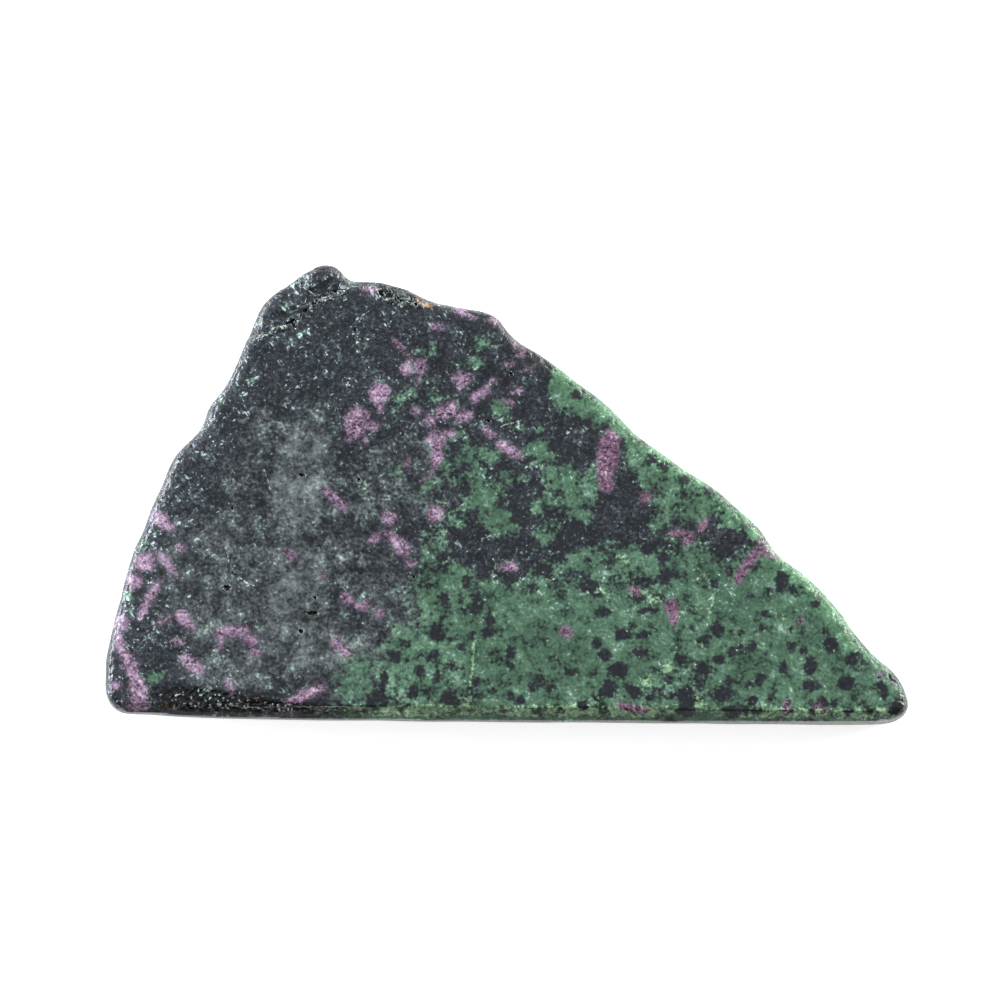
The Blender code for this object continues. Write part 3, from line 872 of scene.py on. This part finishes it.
def store_minerals(stone):
    """Writes where each mineral, each place of painted glints, each thin place with painted glow
    and each worn or sawn place is into the slab's mesh.
    """
    mesh = stone.data
    flat = np.empty(len(mesh.vertices) * 3)
    mesh.vertices.foreach_get("co", flat)
    points = flat.reshape(-1, 3) / MM
    mesh.vertex_normals.foreach_get("vector", flat)
    normals = flat.reshape(-1, 3)
    tree = wall_tree(points, normals[:, 2])
    inward = np.array([tree.find((x, y, 0))[2] for x, y, _ in points])
    near_wall = np.clip((-normals[:, 1] - SAWN_FROM) / SAWN_FADE, 0, 1)
    near_wall *= (points[:, 1] < BEVEL_BACK) & (points[:, 2] < BEVEL_FOOT + SAWN_OVER)
    ground_flat = (points[:, 2] > BEVEL_FOOT) & (points[:, 1] < BEVEL_BACK)
    ground_flat &= np.abs(points[:, 0]) < BEVEL_END
    # A painted glow near thin edges, not at the near edge.
    thin = np.clip(1 - inward / THIN_EDGE, 0, 1)
    thin *= np.clip((points[:, 1] - THIN_BACK) / THIN_FADE, 0, 1)
    worn = np.clip((WORN_FROM - np.abs(normals[:, 2])) / WORN_FADE, 0, 1)
    green = zone_level(points, GREEN_ZONES) - DARK_WEIGHT * zone_level(points, DARK_ZONES)
    dice = random.Random(HIDDEN_SEED)
    rubies = face_grains(RUBIES, RUBY_DEPTH) + hidden_grains(*HIDDEN_RUBIES, dice)
    spots = face_grains(SPOTS, SPOT_DEPTH) + hidden_grains(*HIDDEN_SPOTS, dice)
    fields = {
        "ruby": nearest_grain(points, rubies),
        "hornblende": nearest_grain(points, spots),
        "zoisite": green,
        "grey": zone_level(points, GREY_AND_REFLECTION_ZONES),
        "pale": zone_level(points, PALE_AND_LIT_BEVEL_ZONES),
        "sparkle": zone_level(points, SPARKLE_ZONES),
        "stain": zone_level(points, STAINS),
        "thin": thin,
        "worn": np.where(ground_flat, 0, worn),
        "dust": near_wall,
    }
    for name, values in fields.items():
        layer = mesh.attributes.new(name, "FLOAT", "POINT")
        layer.data.foreach_set("value", values.astype(np.float32))


def tones(tree, value, colour, lights, pales):
    """The colours of one mineral's grains, from its darkest grains to its brightest."""
    ramp = add_node(tree, "ShaderNodeValToRGB", {"Fac": value})
    stops = ramp.color_ramp.elements
    while len(stops) < len(TONE_PLACES):
        stops.new(0.5)
    for stop, place, light, pale in zip(stops, TONE_PLACES, lights, pales):
        lit = [min(channel * light, 1) for channel in colour[:3]]
        stop.position = place
        stop.color = [channel + (1 - channel) * pale for channel in lit] + [1]
    return ramp.outputs["Color"]


def stone_material(settings):
    """Ruby in zoisite, sawn and satin-polished: granular minerals under a soft grey sheen."""
    material = bpy.data.materials.new("ruby_in_zoisite_satin_polish")
    material.use_nodes = True
    tree = material.node_tree
    tree.nodes.clear()
    place = add_node(tree, "ShaderNodeTexCoord").outputs["Object"]
    field = {}
    for name in (*BORDERS, "sparkle", "thin", "worn"):
        field[name] = add_node(tree, "ShaderNodeAttribute", attribute_name=name).outputs["Fac"]

    # Noise at the sizes of the stone's own grain, in mm, and a mosaic of single crystals.
    sizes = {"broad": 6.0, "lobe": 2.4, "edge": 1.1, "crumb": 0.55, "fine": 0.34}
    grain = {}
    for name, size in sizes.items():
        texture = add_node(tree, "ShaderNodeTexNoise", {
            "Vector": place, "Scale": 1 / (size * MM), "Detail": 2.0, "Roughness": 0.6})
        grain[name] = texture.outputs["Fac"]
    mosaic = add_node(tree, "ShaderNodeTexVoronoi", {
        "Vector": place, "Scale": 1 / (CRYSTAL * MM)}).outputs["Color"]
    crystal = add_node(tree, "ShaderNodeSeparateColor", {"Color": mosaic}).outputs

    def weighed(parts, level=0.0):
        """Adds up sources, each times its weight."""
        for source, weight in parts:
            level = add_node(tree, "ShaderNodeMath", {
                0: source, 1: weight, 2: level}, operation="MULTIPLY_ADD").outputs[0]
        return level

    # Shares, from 0 to 1, of what lies between two levels. A border's level is the stored
    # distance or strength, made ragged by the noise.
    ranges = {}
    for name, (start, end, amount, shakes) in BORDERS.items():
        middle = sum(shake for _, shake in shakes) / 2
        parts = [(field[name], amount)] + [(grain[source], shake) for source, shake in shakes]
        ranges[name] = (weighed(parts, -middle), start, end)

    # How bright each crystal is: sharp and speckled in the ground and the rubies, soft and
    # clouded in the green and the grey.
    # The sparkle zones paint the crystals brighter, as glints.
    ranges["sharp"] = (weighed((
        (crystal["Red"], 0.17), (grain["crumb"], 0.46), (grain["fine"], 0.42),
        (grain["lobe"], 0.35), (field["sparkle"], 0.06))), 0.46, 1.00)
    ranges["soft"] = (weighed((
        (crystal["Red"], 0.08), (grain["crumb"], 0.20), (grain["fine"], 0.20),
        (grain["edge"], 0.30), (grain["lobe"], 0.44), (grain["broad"], 0.36))), 0.565, 1.015)

    # Single bright specks and needles, crowded where the photograph sparkles most. Each is
    # brightest in its middle.
    # The specks are painted glints on tiny pale grains.
    speck = 0.0
    for turn, long in SPECK_SHAPES:
        laid = add_node(tree, "ShaderNodeMapping", {
            "Vector": place, "Rotation": (0, 0, turn), "Scale": (long, 1, 1)},
            vector_type="TEXTURE")
        cells = add_node(tree, "ShaderNodeTexVoronoi", {
            "Vector": laid.outputs["Vector"], "Scale": 1 / (SPECK * MM)}).outputs
        chance = add_node(tree, "ShaderNodeSeparateColor", {"Color": cells["Color"]}).outputs
        bright = weighed(((cells["Distance"], -0.8),), chance["Green"])
        speck = add_node(tree, "ShaderNodeMath", {
            0: bright, 1: speck}, operation="MAXIMUM").outputs[0]
    ranges["glint_specks"] = (weighed((
        (speck, 1.0), (grain["lobe"], 0.7), (grain["edge"], 0.6),
        (field["sparkle"], 0.15))), 1.47, 1.68)

    # Rubies are redder towards the right, in the green half.
    across = add_node(tree, "ShaderNodeSeparateXYZ", {"Vector": place}).outputs["X"]
    ranges["red"] = (across, RED_FROM * MM, RED_TO * MM)
    share = {}
    for name, (source, start, end) in ranges.items():
        share[name] = add_node(tree, "ShaderNodeMapRange", {
            "Value": source, "From Min": start, "From Max": end},
            interpolation_type="SMOOTHSTEP" if name in BORDERS else "LINEAR").outputs["Result"]
    share["red_ruby"] = add_node(tree, "ShaderNodeMath", {
        0: share["ruby"], 1: share["red"]}, operation="MULTIPLY").outputs[0]

    # Layers from the ground up, on the matrix.
    shown = tones(tree, share["sharp"], settings.matrix, *TONES["matrix"])
    for name, kind in LAYERS:
        over = tones(tree, share[kind], getattr(settings, name), *TONES[name])
        shown = add_node(tree, "ShaderNodeMix", {
            0: share[name], 6: shown, 7: over}, data_type="RGBA").outputs[2]

    # Painted glow: zoisite lets light through where the edge is thin, and that light is painted
    # into its colour as a brighter tone.
    clear = add_node(tree, "ShaderNodeMath", {
        0: share["zoisite"], 1: field["thin"]}, operation="MULTIPLY").outputs[0]
    lift = add_node(tree, "ShaderNodeVectorMath", {
        0: THIN_GLOW_LIFT, "Scale": clear}, operation="SCALE").outputs["Vector"]
    shown = add_node(tree, "ShaderNodeVectorMath", {
        0: shown, 1: lift, 2: shown}, operation="MULTIPLY_ADD").outputs["Vector"]

    # Walls and rims are tumbled: pricked with small pits, and glossy where they aren't sawn.
    relief = weighed(((field["worn"], WORN_RELIEF),), 1.0)
    height = add_node(tree, "ShaderNodeMath", {
        0: share["sharp"], 1: relief}, operation="MULTIPLY").outputs[0]
    bump = add_node(tree, "ShaderNodeBump", {
        "Height": height, "Strength": 0.35, "Distance": 0.03 * MM}).outputs["Normal"]
    dull = weighed(((field["worn"], WORN_GLOSS), (share["dust"], SAWN_DULL)), settings.gloss)
    surface = add_node(tree, "ShaderNodeBsdfPrincipled", {
        "Base Color": shown, "Roughness": dull, "IOR": 1.70, "Normal": bump})
    add_node(tree, "ShaderNodeOutputMaterial", {"Surface": surface.outputs["BSDF"]})
    return material


class STONE_OT_slab(bpy.types.Operator):
    """Build the polished slab"""

    bl_idname = "stone.slab"
    bl_label = "Polished slab"

    def execute(self, context):
        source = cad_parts["slab"]
        stone = even_net(source)
        refine(stone, source)
        store_minerals(stone)
        stone.data.materials.clear()
        stone.data.materials.append(stone_material(context.scene.stone_look))
        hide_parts("slab")
        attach(stone, "root")
        return {"FINISHED"}


class STONE_OT_stage(bpy.types.Operator):
    """Build the floor, the lights and the camera"""

    bl_idname = "stone.stage"
    bl_label = "Stage"

    def execute(self, context):
        settings = context.scene.stone_stage
        build_floor(settings)
        build_lights(context.scene)
        build_camera(context.scene)
        context.scene.view_settings.view_transform = "Standard"
        return {"FINISHED"}


def build_floor(settings):
    """A plain pale floor under the slab."""
    mesh = bpy.data.meshes.new("floor")
    body = bmesh.new()
    bmesh.ops.create_grid(body, x_segments=1, y_segments=1, size=settings.floor_side / 2)
    body.to_mesh(mesh)
    body.free()
    mesh.transform(Matrix.Translation((0, 0, -FLOOR_GAP * MM)))
    floor = bpy.data.objects.new("floor", mesh)
    bpy.context.scene.collection.objects.link(floor)
    sheet = bpy.data.materials.new("opal_acrylic_light_table")
    sheet.use_nodes = True
    tree = sheet.node_tree
    tree.nodes.clear()
    surface = add_node(tree, "ShaderNodeBsdfPrincipled", {
        "Base Color": tuple(settings.floor), "Roughness": 0.8,
        "Emission Color": tuple(settings.floor), "Emission Strength": settings.table_glow})
    add_node(tree, "ShaderNodeOutputMaterial", {"Surface": surface.outputs["BSDF"]})
    floor.data.materials.append(sheet)


def build_lights(scene):
    """A faint soft box overhead and behind, strong low ones at both sides, and a dark front."""
    # Each light's name, place, aim, size in metres, radiance and tint.
    boxes = (
        ("top_light", (0.0, 0.45, 1.2), (0.0, 0.35, 0.0), (2.0, 1.3), 0.25, (0.84, 0.97, 1.14)),
        ("left_light", (-1.08, 0.35, 0.52), (0, 0, 0), (0.90, 0.45), 19.5, (0.93, 1.0, 1.09)),
        ("right_light", (1.0, 0.60, 0.50), (0, 0, 0), (1.0, 0.50), 12.8, (1.0, 1.0, 1.0)),
        ("back_light", (0.0, 1.2, 0.9), (0, 0, 0), (1.8, 0.7), 0.5, (1.0, 1.0, 1.0)),
    )
    for name, place, aim, size, radiance, tint in boxes:
        lamp = bpy.data.lights.new(name, "AREA")
        lamp.shape = "RECTANGLE"
        lamp.size, lamp.size_y = size
        lamp.energy = radiance * math.pi * size[0] * size[1]
        lamp.color = tint
        holder = bpy.data.objects.new(name, lamp)
        holder.location = place
        holder.rotation_euler = (Vector(aim) - Vector(place)).to_track_quat("-Z", "Y").to_euler()
        scene.collection.objects.link(holder)
    world = bpy.data.worlds.new("studio")
    world.use_nodes = True
    scene.world = world
    tree = world.node_tree
    tree.nodes.clear()
    aim = add_node(tree, "ShaderNodeTexCoord").outputs["Generated"]
    parts = add_node(tree, "ShaderNodeSeparateXYZ", {"Vector": aim}).outputs
    low = add_node(tree, "ShaderNodeMapRange", {
        "Value": parts["Z"], "From Min": 0.05, "From Max": 0.4, "To Min": 0.9, "To Max": 0.05})
    rear = add_node(tree, "ShaderNodeMapRange", {
        "Value": parts["Y"], "From Min": -0.5, "From Max": 0.2, "To Min": 0.12, "To Max": 1.0})
    glow = add_node(tree, "ShaderNodeMath", {
        0: low.outputs["Result"], 1: rear.outputs["Result"]}, operation="MULTIPLY").outputs[0]
    back = add_node(tree, "ShaderNodeBackground", {"Strength": glow})
    add_node(tree, "ShaderNodeOutputWorld", {"Surface": back.outputs["Background"]})


def build_camera(scene):
    """The camera, at the photograph's angle."""
    lens = bpy.data.cameras.new("camera")
    lens.sensor_width = SENSOR
    lens.lens = SENSOR * CAMERA_DISTANCE / (PICTURE_SIDE * MM_PER_PIXEL)
    camera = bpy.data.objects.new("camera", lens)
    aim = Vector((CAMERA_AIM[0], CAMERA_AIM[1], FACE)) * MM
    back = Vector((0, -math.cos(CAMERA_TILT), math.sin(CAMERA_TILT)))
    camera.location = aim + back * CAMERA_DISTANCE * MM
    camera.rotation_euler = (aim - camera.location).to_track_quat("-Z", "Y").to_euler()
    scene.collection.objects.link(camera)
    scene.camera = camera


class STONE_PT_panel(bpy.types.Panel):
    """Lists the pieces and their settings"""

    bl_idname = "STONE_PT_panel"
    bl_label = "Ruby in zoisite"
    bl_space_type = "VIEW_3D"
    bl_region_type = "UI"
    bl_category = "Stone"

    def draw(self, context):
        layout = self.layout
        for settings in (context.scene.stone_look, context.scene.stone_stage):
            for name in settings.__annotations__:
                layout.prop(settings, name)
        for operator in (STONE_OT_slab, STONE_OT_stage):
            layout.operator(operator.bl_idname)


CLASSES = (StoneSettings, StageSettings, STONE_OT_slab, STONE_OT_stage, STONE_PT_panel)


def register():
    """Registers the classes and the scene's settings."""
    for item in CLASSES:
        bpy.utils.register_class(item)
    bpy.types.Scene.stone_look = bpy.props.PointerProperty(type=StoneSettings)
    bpy.types.Scene.stone_stage = bpy.props.PointerProperty(type=StageSettings)


def unregister():
    """Removes what register() added."""
    del bpy.types.Scene.stone_stage
    del bpy.types.Scene.stone_look
    for item in reversed(CLASSES):
        bpy.utils.unregister_class(item)


def main():
    register()
    bpy.ops.stone.slab()
    bpy.ops.stone.stage()


if __name__ == "__main__":
    main()
